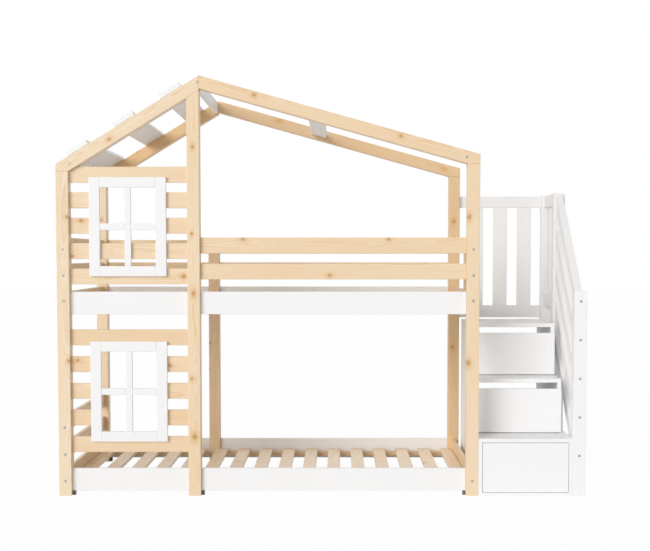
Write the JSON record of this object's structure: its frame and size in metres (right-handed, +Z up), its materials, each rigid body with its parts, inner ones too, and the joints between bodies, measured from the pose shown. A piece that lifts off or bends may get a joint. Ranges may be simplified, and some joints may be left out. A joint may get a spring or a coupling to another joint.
{
  "type": "house bed",
  "caption": "House-shaped bunk bed in pine and white, with a gabled frame, window walls, slatted bases, guard rails and a staircase of drawers.",
  "frame": {"origin": "centre of the bounding box's base, on the floor", "axes": "+X along the bed towards the stairs, +Y from the front to the back, +Z up"},
  "size_m": [2.64, 0.998, 2.092],
  "materials": {
    "pine": "clear satin lacquer over knotty pine",
    "white_wood": "white satin paint",
    "steel": "bright zinc",
    "dark_plastic": "matte"
  },
  "bodies": {
    "frame": {"back_guard": "white_wood", "barrel_nuts": "steel", "bolts": "steel", "eave_rail": "white_wood", "end_boards_lower": "pine", "end_boards_upper": "pine", "end_rail_lower_left": "pine", "end_rail_lower_right": "pine", "end_rail_upper_left": "pine", "end_rail_upper_right": "pine", "entry_guard": "pine", "foot_pads": "dark_plastic", "guard_post_back": "white_wood", "guard_post_front": "white_wood", "guard_post_middle": "white_wood", "guard_rails_back": "pine", "guard_rails_front": "pine", "handrail": "white_wood", "post_back_left": "pine", "post_back_middle": "pine", "post_back_right": "pine", "post_front_left": "pine", "post_front_middle": "pine", "post_front_right": "pine", "rafter_back_left": "pine", "rafter_back_right": "pine", "rafter_front_left": "pine", "rafter_front_right": "pine", "ridge_rail": "white_wood", "roof_boards": "white_wood", "roof_cross_board": "white_wood", "side_guard": "white_wood", "side_rails_lower_back": "white_wood", "side_rails_lower_front": "white_wood", "side_rails_upper_back": "white_wood", "side_rails_upper_front": "white_wood", "slat_cleats_lower": "pine", "slat_cleats_upper": "pine", "slats_lower": "pine", "slats_upper": "pine", "slope_rails": "white_wood", "stair_base": "white_wood", "stair_platform": "white_wood", "stair_sides_left": "white_wood", "stair_sides_right": "white_wood", "stair_stretchers": "white_wood", "stair_tread_lower": "white_wood", "stair_tread_upper": "white_wood", "wall_boards_lower": "pine", "wall_boards_upper": "pine", "window_lower_frame": "white_wood", "window_lower_muntins": "white_wood", "window_upper_frame": "white_wood", "window_upper_muntins": "white_wood"},
    "drawer_lower": {"drawer_lower_box": "white_wood", "drawer_lower_front": "white_wood"},
    "drawer_middle": {"drawer_middle_box": "white_wood", "drawer_middle_front": "white_wood"},
    "drawer_upper": {"drawer_upper_box": "white_wood", "drawer_upper_front": "white_wood"}
  },
  "joints": [
    {"name": "drawer_lower_slide", "type": "slide", "parent": "frame", "child": "drawer_lower", "axis": [0, -1, 0], "range_m": [0, 0.4]},
    {"name": "drawer_middle_slide", "type": "slide", "parent": "frame", "child": "drawer_middle", "axis": [0, -1, 0], "range_m": [0, 0.3]},
    {"name": "drawer_upper_slide", "type": "slide", "parent": "frame", "child": "drawer_upper", "axis": [0, -1, 0], "range_m": [0, 0.3]}
  ]
}
